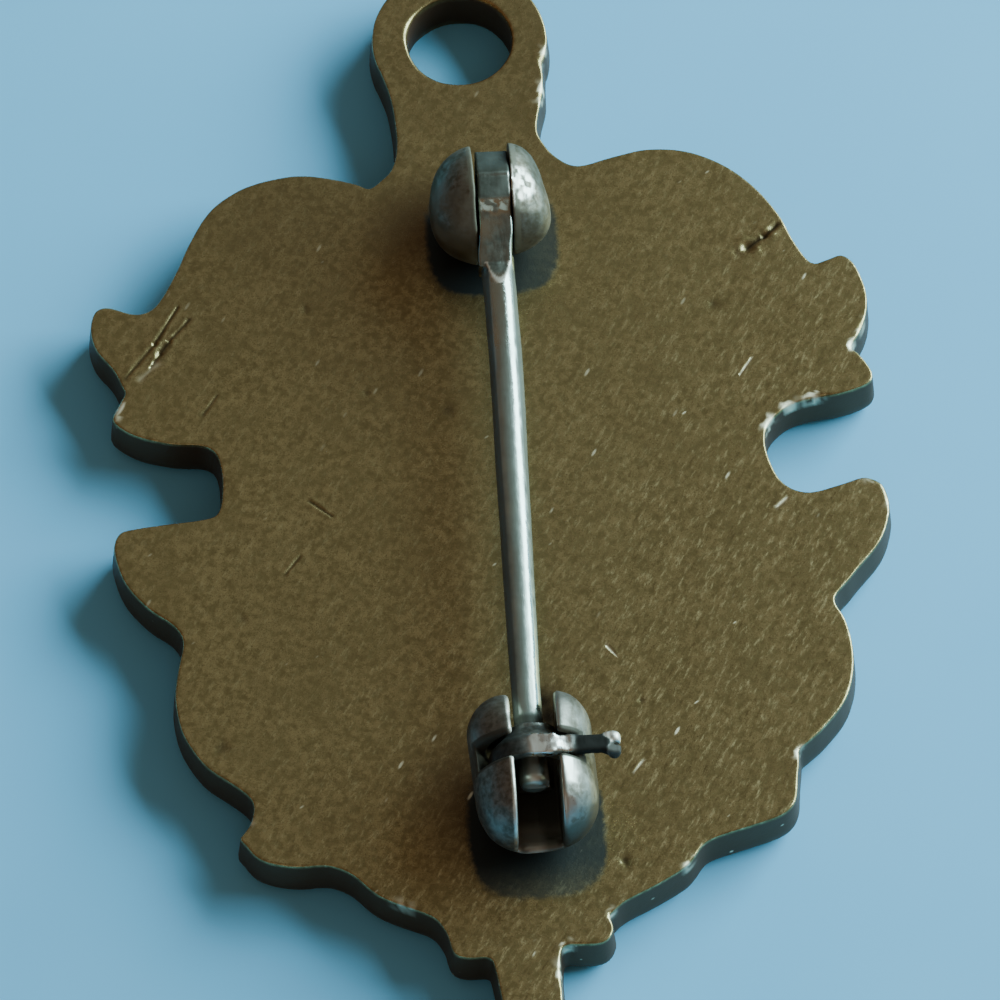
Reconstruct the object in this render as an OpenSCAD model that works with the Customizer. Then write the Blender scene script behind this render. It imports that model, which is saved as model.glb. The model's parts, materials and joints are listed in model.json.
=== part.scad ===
// Award pin lying face down: a struck brass badge with a loop at its top, and on its back
// a ball-shaped hinge, a pin stem and a ball-shaped safety catch with a turning lock.

/* [Badge] */
// Thickness of the badge through its loop
badge_t = 1.5; // [1.2:0.1:2.2]
// How far the badge's wall spreads out from its back down to its shoulder
wall_flare = 0.14; // [0:0.01:0.2]
// Depth of the rounded shoulder round the badge's front
shoulder_h = 0.45; // [0.2:0.05:0.5]
// How far the shoulder runs in from the wall's foot
shoulder_w = 0.4; // [0.2:0.02:0.5]
// Outer radius of the loop
loop_r = 2.5; // [2.3:0.05:2.7]
// Radius of the hole in the loop
loop_hole_r = 1.5; // [1.2:0.05:1.6]
// Width of the chamfer at each mouth of the hole
loop_chamfer = 0.1; // [0.05:0.01:0.15]
// Width of the raised rim round the front
rim_w = 1.1; // [0.9:0.05:1.5]
// Depth of the front's plain field below its rim
field_depth = 0.3; // [0.1:0.05:0.5]

/* [Hinge] */
// Radius of the hinge's ball
knuckle_r = 1.71; // [1.6:0.01:1.75]
// Height of the ball's middle above the badge's back
knuckle_h = 1.4; // [1.35:0.05:1.5]
// Height of the pin's pivot above the badge's back
pivot_h = 1.6; // [1.55:0.01:1.65]
// Thickness of the pin's flat head
head_t = 0.94; // [0.8:0.02:0.96]
// Radius of the pin's flat head round its pivot
head_r = 1.32; // [1.1:0.02:1.32]
// Radius of the rivet that the pin turns on
rivet_r = 0.3; // [0.25:0.01:0.35]

/* [Pin stem] */
// Length of the flat neck between the pivot and the wire
neck_len = 2.4; // [2.2:0.05:2.6]
// Radius of the wire next to the neck
wire_r = 0.46; // [0.4:0.01:0.47]
// Radius of the wire where it enters the catch
wire_end_r = 0.41; // [0.35:0.01:0.42]
// Radius of the blunt point
point_r = 0.3; // [0.2:0.01:0.35]
// Angle that the pin leans to the left
stem_lean = 0.6; // [0:0.1:1]

/* [Catch] */
// Radius of the catch's body
catch_r = 1.68; // [1.66:0.01:1.75]
// Length of the catch's body along the pin
catch_len = 4.35; // [4.25:0.05:4.4]
// Radius of the shoulders at the catch's upper end
catch_shoulder_r = 1.1; // [0.9:0.05:1.2]
// Angle that the catch's body is set askew
catch_lean = 3; // [0:0.5:4]
// Height of the body's middle above the badge's back
catch_h = 1.6; // [1.55:0.01:1.65]
// Width of the slot that the pin drops into
catch_slot_w = 1.3; // [1.1:0.05:1.35]
// Height of the lock's axis above the badge's back
lock_h = 1.85; // [1.8:0.01:1.9]
// Outer radius of the lock's split sleeve
sleeve_r = 1.2; // [1.1:0.01:1.22]
// Thickness of the lock's sheet
sleeve_t = 0.3; // [0.25:0.01:0.32]
// Width of the lock's sleeve along the pin
sleeve_w = 1.2; // [1:0.05:1.25]
// Width of the lock's tab along the pin
tab_w = 0.56; // [0.4:0.02:0.6]
// Distance from the lock's axis to the end of the tab
tab_reach = 2.35; // [2.2:0.05:2.5]
// Angle that the lock turns through to let the pin out
lock_turn = 110; // [100:1:112]

/* [Hidden] */

// The outline is drawn with its own zero near the badge's middle, and the origin lies
// below the middle of the outline's box.
outline_low = [-11.02, -16.6];
outline_high = [10.70, 17.75];
origin = (outline_low + outline_high) / 2;

loop_at = [-0.1, 15.25];
knuckle_at = [0.32, 8.8];
pivot_x = 0.42;
catch_at = [0.25, -9.42];
tip_y = -9.98;

// The lock sits a little above the catch's middle, and its tab a little below the sleeve's.
lock_shift = 0.5;
tab_shift = 0.32;

running_gap = 0.03;
side_gap = 0.05;
slot_floor_h = 0.2;
catch_floor_h = 0.5;

// The low foot that each ball is soldered down on
foot_h = 0.16;
foot_extra = 0.14;
foot_r = 1.1;

arc_fn = 48;
curve_steps = 3;
eps = 0.01;

function mix(a, b, t) = a + (b - a) * t;

// A point at a distance r and an angle a from the zero.
function polar(r, a) = r * [cos(a), sin(a)];

// The badge's edge, clockwise from the right foot of the loop to its left foot. A row is one
// point that the edge passes through. Its corner is 1 where the edge turns sharply.
EDGE_X = 0;
EDGE_Y = 1;
EDGE_CORNER = 2;
EDGE = [
    // x, y, corner
    // right side of the neck
    [ 2.21, 14.30, 1],
    [ 2.16, 13.36, 0],
    [ 1.97, 12.63, 0],
    [ 1.89, 12.10, 0],
    [ 1.98, 11.70, 0],
    [ 2.34, 11.13, 0],
    [ 2.95, 10.76, 0],
    // upper right lobe
    [ 4.00, 11.00, 0],
    [ 5.10, 11.17, 0],
    [ 6.20, 10.98, 0],
    [ 7.20, 10.40, 0],
    [ 7.95,  9.60, 0],
    [ 8.50,  8.70, 0],
    [ 8.82,  7.85, 0],
    [ 9.25,  7.10, 0],
    // upper right ribbon end
    [ 9.70,  7.15, 0],
    [10.15,  7.26, 0],
    [10.50,  6.85, 0],
    [10.70,  5.95, 0],
    [10.55,  5.05, 0],
    [10.14,  4.28, 1],
    [10.48,  3.72, 0],
    [10.62,  3.30, 0],
    [10.42,  3.02, 0],
    [ 9.70,  2.78, 0],
    [ 8.85,  2.68, 0],
    // right notch
    [ 8.10,  2.40, 0],
    [ 7.52,  1.78, 0],
    [ 7.48,  0.95, 0],
    [ 7.80,  0.05, 0],
    [ 8.50, -0.33, 0],
    // lower right ribbon end
    [ 9.40, -0.16, 0],
    [10.15,  0.04, 0],
    [10.58, -0.28, 0],
    [10.68, -1.00, 0],
    [10.35, -1.95, 0],
    [ 9.60, -2.85, 0],
    [ 8.90, -3.72, 1],
    // right leaves
    [ 9.18, -4.60, 0],
    [ 9.26, -5.60, 0],
    [ 8.98, -6.75, 0],
    [ 8.30, -7.62, 0],
    [ 7.55, -8.30, 1],
    [ 7.42, -9.10, 0],
    [ 7.28, -9.88, 0],
    [ 6.80, -10.30, 0],
    [ 5.70, -10.62, 0],
    [ 4.78, -10.95, 0],
    [ 4.25, -11.58, 0],
    [ 3.40, -12.10, 0],
    [ 2.50, -12.54, 0],
    [ 2.03, -12.95, 1],
    [ 2.08, -13.40, 0],
    [ 1.82, -13.72, 0],
    [ 1.25, -13.76, 0],
    // stem
    [ 0.80, -13.76, 0],
    [ 0.62, -14.10, 0],
    [ 0.58, -15.30, 0],
    [ 0.48, -16.15, 0],
    [-0.20, -16.60, 0],
    [-0.88, -16.15, 0],
    [-1.00, -15.30, 0],
    [-1.12, -14.30, 0],
    [-1.28, -13.98, 0],
    // left leaves
    [-1.80, -13.95, 0],
    [-2.18, -13.78, 0],
    [-2.35, -13.15, 0],
    [-2.70, -12.66, 0],
    [-3.50, -12.26, 0],
    [-4.15, -11.88, 0],
    [-4.75, -11.25, 0],
    [-5.40, -10.95, 0],
    [-6.30, -10.92, 0],
    [-7.20, -10.62, 0],
    [-7.68, -9.98, 1],
    [-7.34, -9.42, 0],
    [-7.30, -8.85, 0],
    [-7.75, -8.35, 0],
    [-8.50, -7.70, 0],
    [-9.05, -6.70, 0],
    [-9.22, -5.60, 0],
    [-9.08, -4.65, 0],
    [-8.92, -3.85, 0],
    [-9.15, -3.32, 0],
    // lower left ribbon end
    [-9.85, -2.70, 0],
    [-10.42, -1.88, 0],
    [-10.67, -0.90, 0],
    [-10.52, -0.36, 0],
    [-10.10, -0.22, 0],
    [-9.10, -0.12, 0],
    // left notch
    [-8.20, -0.04, 0],
    [-7.76,  0.16, 0],
    [-7.60,  0.95, 0],
    [-7.68,  1.90, 0],
    [-8.08,  2.30, 0],
    [-9.00,  2.43, 0],
    // upper left ribbon end
    [-9.85,  2.72, 0],
    [-10.35,  3.05, 0],
    [-10.52,  3.42, 0],
    [-10.14,  4.15, 1],
    [-10.42,  4.90, 0],
    [-10.88,  5.60, 0],
    [-11.02,  6.30, 0],
    [-10.88,  6.84, 0],
    [-10.50,  6.97, 0],
    [-9.75,  6.70, 0],
    [-9.18,  6.92, 0],
    // upper left lobe
    [-8.62,  7.85, 0],
    [-8.14,  8.90, 0],
    [-7.50,  9.95, 0],
    [-6.50, 10.66, 0],
    [-5.15, 10.97, 0],
    [-4.00, 10.80, 0],
    [-2.95, 10.40, 1],
    // left side of the neck
    [-2.36, 10.90, 0],
    [-2.12, 11.65, 0],
    [-2.11, 12.64, 0],
    [-2.20, 13.45, 0],
    [-2.41, 14.30, 1],
];

function edge_at(i) =
    let (row = EDGE[(i + len(EDGE)) % len(EDGE)])
    [row[EDGE_X], row[EDGE_Y]];

function is_corner(i) = EDGE[(i + len(EDGE)) % len(EDGE)][EDGE_CORNER] == 1;

// A smooth curve through b and c, with a before them and d after them.
function curve_point(a, b, c, d, t) =
    0.5 * (2 * b + (c - a) * t + (2 * a - 5 * b + 4 * c - d) * t ^ 2
        + (3 * b - a - 3 * c + d) * t ^ 3);

// The neighbours of a corner are mirrored, so that the curve is free to turn there.
function edge_stretch(i) =
    let (b = edge_at(i),
        c = edge_at(i + 1),
        a = is_corner(i) ? 2 * b - c : edge_at(i - 1),
        d = is_corner(i + 1) ? 2 * c - b : edge_at(i + 2))
    [for (k = [0 : curve_steps - 1]) curve_point(a, b, c, d, k / curve_steps)];

// The loop's own arc closes the outline from the neck's left side to its right side.
function direction(p) = atan2(p.y - loop_at.y, p.x - loop_at.x);

loop_from = direction(edge_at(-1)) + 360;
loop_to = direction(edge_at(0));
loop_steps = 36;

function loop_arc() =
    [for (k = [1 : loop_steps - 1])
        loop_at + polar(loop_r, mix(loop_from, loop_to, k / loop_steps))];

outline_points = concat(
    [for (i = [0 : len(EDGE) - 2]) each edge_stretch(i)],
    [edge_at(-1)],
    loop_arc()
);

// Each node is drawn on the outline's zero and moved onto the origin.
module placed(h = 0) {
    translate([-origin.x, -origin.y, h])
        children();
}

// A cylinder that lies along X or along Y, with its middle at the zero.
module bar_x(r, l) {
    rotate([0, 90, 0])
        cylinder(r = r, h = l, center = true, $fn = arc_fn);
}

module bar_y(r, l) {
    rotate([90, 0, 0])
        cylinder(r = r, h = l, center = true, $fn = arc_fn);
}

// How far the badge's side stands out from the back's outline at a height h: it spreads
// down to the shoulder, and a quarter round leads from there in to the front.
function side_spread(h) =
    h >= shoulder_h
        ? wall_flare * (badge_t - h) / (badge_t - shoulder_h)
        : wall_flare - shoulder_w * (1 - sqrt(1 - (1 - h / shoulder_h) ^ 2));

slice_heights = [0, 0.3 * shoulder_h, shoulder_h, mix(shoulder_h, badge_t, 0.5), badge_t];

module badge_body() {
    for (i = [0 : len(slice_heights) - 2]) {
        low = slice_heights[i];
        high = slice_heights[i + 1];
        top_slice = high == badge_t;
        translate([0, 0, low])
            linear_extrude(high - low + (top_slice ? 0 : eps))
                offset(delta = top_slice ? 0 : side_spread((low + high) / 2))
                    polygon(outline_points);
    }
}

// The front's plain field: the outline drawn in by the rim, between the stem and the loop.
field_low_y = -12.6;
field_high_y = 10.2;
field_half_x = 12;

module front_field() {
    translate([0, 0, -1])
        linear_extrude(1 + field_depth)
            intersection() {
                offset(delta = -rim_w)
                    polygon(outline_points);
                translate([-field_half_x, field_low_y])
                    square([2 * field_half_x, field_high_y - field_low_y]);
            }
}

module loop_hole() {
    translate([loop_at.x, loop_at.y, -1])
        cylinder(r = loop_hole_r, h = badge_t + 2, $fn = arc_fn);
    for (side = [0, 1])
        translate([loop_at.x, loop_at.y, side * badge_t])
            mirror([0, 0, side])
                translate([0, 0, -eps])
                    cylinder(r1 = loop_hole_r + loop_chamfer, r2 = loop_hole_r,
                        h = loop_chamfer, $fn = arc_fn);
}

module badge_plate() {
    color("#8a6a32")
        placed()
            difference() {
                badge_body();
                front_field();
                loop_hole();
            }
}

module foot() {
    cylinder(r1 = foot_r + foot_extra, r2 = foot_r, h = foot_h, $fn = arc_fn);
}

// Keeps what is drawn above the badge's back, over a box that reaches far enough each way.
reach = 6;

module above_back() {
    intersection() {
        children();
        translate([-reach, -reach, 0])
            cube([2 * reach, 2 * reach, reach]);
    }
}

module hinge_knuckle() {
    slot_w = head_t + 2 * side_gap;
    slot_x = pivot_x - knuckle_at.x;
    color("#8f9294")
        placed(badge_t)
            translate([knuckle_at.x, knuckle_at.y, 0])
                difference() {
                    union() {
                        foot();
                        above_back()
                            translate([0, 0, knuckle_h])
                                sphere(r = knuckle_r, $fn = arc_fn);
                    }
                    translate([slot_x - slot_w / 2, -reach, slot_floor_h])
                        cube([slot_w, 2 * reach, reach]);
                    translate([0, 0, pivot_h])
                        bar_x(rivet_r + eps, 2 * reach);
                }
}

// The rivet's ends stand just inside the ball's skin.
rivet_inset = 0.1;

module hinge_rivet() {
    color("#777a7d")
        placed(badge_t)
            translate([knuckle_at.x, knuckle_at.y, pivot_h])
                bar_x(rivet_r, 2 * (knuckle_r - rivet_inset));
}

// The pin stem lies along -Y from its pivot, before it is set at its slopes.
taper_from = 6;
point_len = 0.45;
stem_len = knuckle_at.y - tip_y;
stem_rise = atan((lock_h - pivot_h) / (knuckle_at.y - catch_at.y));
neck_root = [0.5, 1.9];
neck_end_h = 0.66;
neck_end_w = 0.84;

module stem_head() {
    difference() {
        union() {
            bar_x(head_r, head_t);
            hull() {
                translate([0, -neck_root.x, 0])
                    cube([head_t, 0.1, neck_root.y], center = true);
                translate([0, -neck_len, 0])
                    cube([neck_end_w, 0.1, neck_end_h], center = true);
            }
        }
        bar_x(rivet_r + running_gap, reach);
    }
}

// The flat of the neck runs out over the wire's top as a short facet.
facet_from = neck_len - 0.08;
facet_to = neck_len + 0.57;

module facet_room() {
    rotate([90, 0, 90])
        linear_extrude(reach, center = true)
            polygon([
                [-neck_len + 0.4, reach],
                [-neck_len + 0.4, neck_end_h / 2],
                [-facet_from, neck_end_h / 2],
                [-facet_to, wire_r + eps],
                [-facet_to, reach],
            ]);
}

module stem_wire() {
    shoulder = stem_len - point_len;
    difference() {
        rotate([90, 0, 0])
            translate([0, 0, neck_len - 0.3])
                cylinder(r = wire_r, h = taper_from - neck_len + 0.3, $fn = arc_fn);
        facet_room();
    }
    rotate([90, 0, 0]) {
        translate([0, 0, taper_from])
            cylinder(r1 = wire_r, r2 = wire_end_r, h = shoulder - taper_from, $fn = arc_fn);
        translate([0, 0, shoulder])
            cylinder(r1 = wire_end_r, r2 = point_r, h = point_len - point_r, $fn = arc_fn);
        translate([0, 0, stem_len - point_r])
            sphere(r = point_r, $fn = arc_fn);
    }
}

module pin_stem() {
    color("#9a9da0")
        placed(badge_t)
            translate([pivot_x, knuckle_at.y, pivot_h])
                rotate([-stem_rise, 0, -stem_lean]) {
                    stem_head();
                    stem_wire();
                }
}

// The catch's body is a short rod with round ends, and a rounded bar across its upper end
// gives it its square shoulders.
round_end_y = 0.3;
shoulder_rise = 0.35;

module shoulders() {
    half = catch_r - catch_shoulder_r;
    translate([0, catch_len / 2 - catch_shoulder_r, shoulder_rise]) {
        bar_x(catch_shoulder_r, 2 * half);
        for (side = [-1, 1])
            translate([side * half, 0, 0])
                sphere(r = catch_shoulder_r, $fn = arc_fn);
    }
}

module catch_body() {
    low_y = catch_r - catch_len / 2;
    rotate([0, 0, catch_lean]) {
        for (y = [low_y, round_end_y])
            translate([0, y, 0])
                sphere(r = catch_r, $fn = arc_fn);
        translate([0, (low_y + round_end_y) / 2, 0])
            bar_y(catch_r, round_end_y - low_y);
        shoulders();
    }
}

// The room that the lock's tab sweeps through, drawn across the pin: from where it lies to
// the right, over the top, to where it stands when the lock is open.
tab_gap = 0.06;

module tab_room() {
    low = sleeve_r - sleeve_t - tab_gap;
    root = polar(sleeve_r + tab_gap, 90 + lock_turn);
    rotate([90, 0, 0])
        linear_extrude(tab_w + 2 * tab_gap, center = true)
            polygon([
                [0, low],
                [reach, low],
                [reach, reach],
                root + polar(reach, lock_turn),
                root,
                [0, root.y],
            ]);
}

module catch_housing() {
    color("#8f9294")
        placed(badge_t)
            translate([catch_at.x, catch_at.y, 0])
                difference() {
                    union() {
                        above_back()
                            translate([0, 0, catch_h])
                                catch_body();
                        foot();
                    }
                    translate([-catch_slot_w / 2, -reach, catch_floor_h])
                        cube([catch_slot_w, 2 * reach, reach]);
                    translate([0, lock_shift, lock_h])
                        bar_y(sleeve_r + side_gap, sleeve_w + 2 * side_gap);
                    translate([0, lock_shift - tab_shift, lock_h])
                        tab_room();
                }
}

// The lock's sleeve is split, and its gap faces up when the lock is open.
gap_half = 42;
gap_mid = 90 - lock_turn;

module sleeve_profile() {
    difference() {
        circle(r = sleeve_r, $fn = arc_fn);
        circle(r = sleeve_r - sleeve_t, $fn = arc_fn);
        polygon([
            [0, 0],
            polar(reach, gap_mid - gap_half),
            polar(reach, gap_mid),
            polar(reach, gap_mid + gap_half),
        ]);
    }
}

// The tab leaves the sleeve's top to the right, and its end is wider and droops.
tab_end_w = 0.74;
tab_end_len = 0.5;
tab_bend_x = 1.5;

module tab_profile() {
    top = sleeve_r;
    low = sleeve_r - sleeve_t;
    polygon([
        [0, low],
        [0, top],
        [tab_bend_x, top - 0.03],
        [tab_reach - 0.1, top - 0.22],
        [tab_reach, top - 0.3],
        [tab_reach, top - 0.42],
        [tab_reach - 0.1, top - 0.52],
        [tab_bend_x, low - 0.02],
    ]);
}

module lock_tab() {
    linear_extrude(tab_w, center = true)
        tab_profile();
    linear_extrude(tab_end_w, center = true)
        intersection() {
            tab_profile();
            translate([tab_reach - tab_end_len, 0])
                square([reach, reach]);
        }
}

module catch_lock() {
    color("#85888a")
        placed(badge_t)
            translate([catch_at.x, catch_at.y + lock_shift, lock_h])
                rotate([90, 0, 0]) {
                    linear_extrude(sleeve_w, center = true)
                        sleeve_profile();
                    translate([0, 0, tab_shift])
                        lock_tab();
                }
}

badge_plate();
hinge_knuckle();
hinge_rivet();
pin_stem();
catch_housing();
catch_lock();
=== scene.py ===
import itertools
import json
import math

import bpy
import numpy as np
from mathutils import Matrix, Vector
from mathutils.geometry import delaunay_2d_cdt
from mathutils.kdtree import KDTree


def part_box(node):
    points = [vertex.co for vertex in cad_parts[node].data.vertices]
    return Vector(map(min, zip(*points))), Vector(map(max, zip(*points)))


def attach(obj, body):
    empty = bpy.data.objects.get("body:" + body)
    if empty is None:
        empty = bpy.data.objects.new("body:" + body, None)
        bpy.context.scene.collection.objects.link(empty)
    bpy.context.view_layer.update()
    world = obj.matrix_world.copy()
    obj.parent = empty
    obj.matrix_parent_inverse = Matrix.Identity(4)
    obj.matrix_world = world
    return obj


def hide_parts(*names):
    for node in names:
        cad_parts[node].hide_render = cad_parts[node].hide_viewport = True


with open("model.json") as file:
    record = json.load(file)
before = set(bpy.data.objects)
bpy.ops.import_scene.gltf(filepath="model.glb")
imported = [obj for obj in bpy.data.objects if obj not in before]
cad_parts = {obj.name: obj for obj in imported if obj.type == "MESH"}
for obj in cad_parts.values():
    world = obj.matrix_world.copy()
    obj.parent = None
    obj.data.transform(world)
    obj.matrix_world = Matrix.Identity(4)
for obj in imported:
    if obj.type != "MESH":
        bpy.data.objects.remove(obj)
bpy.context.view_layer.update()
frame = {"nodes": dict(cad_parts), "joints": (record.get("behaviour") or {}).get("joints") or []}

# Lengths here are millimetres in the row frame, and MM turns them into Blender's metres.
MM = 0.001


def box_mm(name):
    """A node's lowest and highest corners, in millimetres."""
    low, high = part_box(name)
    return np.array(low) / MM, np.array(high) / MM


def joint_mm(name):
    """The point that a joint turns about, in millimetres."""
    found = [j for j in frame["joints"] if j["name"] == name][0]
    return np.array(found["pos_m"]) / MM


PLATE_LOW, PLATE_HIGH = box_mm("badge_plate")
BACK = PLATE_HIGH[2]
PIVOT = joint_mm("pin_hinge")
LOCK_AXIS = joint_mm("lock_turn")
KNUCKLE = sum(box_mm("hinge_knuckle")) / 2


# Noise

def cell_value(cell, seed):
    """A repeatable number from -1 to 1 for each whole-number cell."""
    n = (cell[:, 0] * 73856093) ^ (cell[:, 1] * 19349663) ^ (cell[:, 2] * 83492791)
    n = (n ^ (seed * 39916801)) & 0xFFFFFFFF
    n = ((n ^ (n >> 13)) * 1274126177) & 0xFFFFFFFF
    n = ((n ^ (n >> 16)) * 668265263) & 0xFFFFFFFF
    return (n ^ (n >> 15)) / 0x7FFFFFFF - 1


def noise(p, size, seed):
    """Smooth noise from -1 to 1 at points p, with bumps about size across."""
    q = p / size
    if q.shape[1] == 2:
        q = np.column_stack([q, np.zeros(len(q))])
    cell = np.floor(q).astype(np.int64)
    f = q - cell
    f = f * f * f * (f * (f * 6 - 15) + 10)
    total = np.zeros(len(q))
    for corner in itertools.product((0, 1), repeat=3):
        weight = np.prod(np.where(corner, f, 1 - f), axis=1)
        total += weight * cell_value(cell + np.array(corner), seed)
    return total


def turned(p, axis, angle):
    """Points in axes that are turned about one of them."""
    i, j = (axis + 1) % 3, (axis + 2) % 3
    c, s = math.cos(angle), math.sin(angle)
    q = p.copy()
    q[:, i] = p[:, i] * c + p[:, j] * s
    q[:, j] = p[:, j] * c - p[:, i] * s
    return q


def askew(p):
    """Points turned off the axes, so that the noise's cells don't line up with a piece."""
    return turned(turned(p, 2, math.radians(-37)), 0, math.radians(-31))


def ease(t):
    """A smooth step from 0 to 1 as t goes from 0 to 1."""
    t = np.clip(t, 0, 1)
    return t * t * (3 - 2 * t)


def rises(value, start, over):
    """0 up to a start, and from there smoothly up to 1 over a stretch."""
    return ease((value - start) / over)


def falls(value, end, over):
    """1 first, and then smoothly down over a stretch to 0 at an end."""
    return ease((end - value) / over)


def patches(p, size, seed, middle, contrast):
    """Patches from 0 to 1, with a middle value and a contrast."""
    return ease(middle + contrast * noise(p, size, seed))


def most(*shares):
    """The highest of several shares at each point."""
    return np.maximum.reduce(shares)


# Meshes

def placed(name, data):
    """A new object in the scene."""
    made = bpy.data.objects.new(name, data)
    bpy.context.scene.collection.objects.link(made)
    return made


def make_piece(name, points, faces, body, nodes, material, marks):
    """A smooth mesh from points in millimetres, which rides on a body and stands for CAD nodes."""
    mesh = bpy.data.meshes.new(name)
    mesh.from_pydata((np.asarray(points) * MM).tolist(), [], faces)
    for mark, values in marks.items():
        layer = mesh.attributes.new(mark, "FLOAT", "POINT")
        layer.data.foreach_set("value", np.asarray(values, np.float32))
    mesh.shade_smooth()
    mesh.materials.append(material)
    piece = placed(name, mesh)
    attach(piece, body)
    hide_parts(*nodes)


# Fields: each gives how far points lie outside a shape, and is negative inside it.

def ball(p, middle, r):
    return np.linalg.norm(p - middle, axis=1) - r


def from_stretch(p, a, b):
    """How far points lie from the stretch between two ends."""
    a, b = np.array(a, float), np.array(b, float)
    t = np.clip((p - a) @ (b - a) / ((b - a) @ (b - a)), 0, 1)
    return np.linalg.norm(p - a - t[:, None] * (b - a), axis=1)


def disc(p, middle, axis, r, half):
    """A round disc or bar along one axis, half as long each way as its length."""
    q = p - middle
    along = np.abs(q[:, axis]) - half
    round_part = np.linalg.norm(np.delete(q, axis, axis=1), axis=1) - r
    outside = np.hypot(np.maximum(along, 0), np.maximum(round_part, 0))
    return outside + np.minimum(np.maximum(along, round_part), 0)


def both(a, b, k=0.0):
    """The part that lies in both shapes, with an edge rounded over about k."""
    if k == 0:
        return np.maximum(a, b)
    h = np.maximum(k - np.abs(a - b), 0) / k
    return np.maximum(a, b) + h * h * k / 4


def joined(a, b, k=0.0):
    """The two shapes together, with the corner between them filled over about k."""
    return -both(-a, -b, k)


def without(a, b, k=0.0):
    return both(a, -b, k)


SETTLE_ROUNDS = 3
CELL_EDGES = [
    (axis, offset)
    for axis in range(3)
    for offset in itertools.product((0, 1), repeat=3)
    if offset[axis] == 0
]


def surface_of(field, low, high, step):
    """Points and quads on a field's surface, with one point in each cell that it passes through."""
    low, high = np.array(low, float), np.array(high, float)
    count = np.ceil((high - low) / step).astype(int) + 1
    axes = [low[k] + step * np.arange(count[k]) for k in range(3)]
    grid = np.stack(np.meshgrid(*axes, indexing="ij"), -1).reshape(-1, 3)
    value = field(grid).reshape(count)
    inside = value < 0

    def corner_of(array, offset):
        return array[tuple(slice(o, o + n - 1) for o, n in zip(offset, count))]

    hits = sum(corner_of(inside, o).astype(int) for o in itertools.product((0, 1), repeat=3))
    cells = np.argwhere((hits > 0) & (hits < 8))
    number = np.full(count, -1)
    number[tuple(cells.T)] = np.arange(len(cells))

    total = np.zeros((len(cells), 3))
    crossings = np.zeros(len(cells))
    for axis, offset in CELL_EDGES:
        a = value[tuple((cells + offset).T)]
        end = np.array(offset) + np.eye(3, dtype=int)[axis]
        b = value[tuple((cells + end).T)]
        crossed = (a < 0) != (b < 0)
        t = np.where(crossed, a / np.where(crossed, a - b, 1), 0)
        point = cells + np.array(offset) + t[:, None] * np.eye(3)[axis]
        total += np.where(crossed[:, None], point, 0)
        crossings += crossed
    points = low + step * total / crossings[:, None]
    points = settle(field, points, step)

    quads = []
    for axis in range(3):
        u, v = [k for k in range(3) if k != axis]
        one, du, dv = np.eye(3, dtype=int)[[axis, u, v]]
        last = count - one
        a = inside[: last[0], : last[1], : last[2]]
        b = inside[one[0] :, one[1] :, one[2] :]
        at = np.argwhere(a != b)
        at = at[(at[:, u] > 0) & (at[:, v] > 0)]
        ring = [number[tuple((at - s).T)] for s in (du + dv, dv, np.zeros(3, int), du)]
        ring = np.column_stack(ring)
        turned = inside[tuple(at.T)] == (axis != 1)
        ring[~turned] = ring[~turned][:, ::-1]
        quads.append(ring)
    return points, np.vstack(quads)


def settle(field, points, step):
    """Draws points that lie near a field's surface onto it."""
    small = step / 8
    start = points.copy()
    for _ in range(SETTLE_ROUNDS):
        value = field(points)
        slope = np.column_stack([
            (field(points + small * unit) - field(points - small * unit)) / (2 * small)
            for unit in np.eye(3)
        ])
        size = np.maximum((slope ** 2).sum(axis=1), 0.2)
        points = points - slope * (value / size)[:, None]
        points = start + np.clip(points - start, -0.6 * step, 0.6 * step)
    return points


# How far round a node's box its field is worked out.
BALL_ROOM = 0.2
BAR_ROOM = 0.15


def carve(name, node, body, metal, field, marks, room, step):
    """A piece with a field's surface, kept inside the box of the CAD node that it stands for."""
    low, high = box_mm(node)
    points, quads = surface_of(field, low - room, high + room, step)
    points = np.clip(points, low, high)
    make_piece(name, points, quads.tolist(), body, [node], nickel(metal), marks(points))


# Shader nodes

def feed(tree, node, inputs):
    """Fills a node's inputs, each with a value, or with a link from a socket."""
    for key, value in inputs.items():
        if isinstance(value, bpy.types.NodeSocket):
            tree.links.new(value, node.inputs[key])
        else:
            node.inputs[key].default_value = value


def add(tree, kind, inputs, **settings):
    made = tree.nodes.new(kind)
    for key, value in settings.items():
        setattr(made, key, value)
    feed(tree, made, inputs)
    return made


def millimetres(tree, turn=0.0, stretch=(1, 1, 1)):
    """The place on the piece in millimetres, turned about Z and stretched."""
    place = add(tree, "ShaderNodeTexCoord", {}).outputs["Object"]
    on_piece = add(tree, "ShaderNodeMapping", {
        "Vector": place, "Rotation": (0, 0, turn), "Scale": (1 / MM, 1 / MM, 1 / MM),
    }).outputs["Vector"]
    return vector_maths(tree, "MULTIPLY", on_piece, stretch)["Vector"]


def grain(tree, place, scale, detail=2.0, rough=0.5):
    return add(tree, "ShaderNodeTexNoise", {
        "Vector": place, "Scale": scale, "Detail": detail, "Roughness": rough,
    }).outputs["Fac"]


def span(tree, value, low, high, to_low=0.0, to_high=1.0):
    """Turns values from low to high into values from to_low to to_high, smoothly."""
    return add(tree, "ShaderNodeMapRange", {
        "Value": value, "From Min": low, "From Max": high, "To Min": to_low, "To Max": to_high,
    }, interpolation_type="SMOOTHSTEP").outputs["Result"]


def maths(tree, operation, a, b=0.0):
    return add(tree, "ShaderNodeMath", {0: a, 1: b}, operation=operation).outputs[0]


def sum_of(tree, a, b):
    return maths(tree, "ADD", a, b)


def product(tree, a, b):
    return maths(tree, "MULTIPLY", a, b)


def highest(tree, a, b):
    return maths(tree, "MAXIMUM", a, b)


def vector_maths(tree, operation, a, b):
    return add(tree, "ShaderNodeVectorMath", {0: a, 1: b}, operation=operation).outputs


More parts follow.
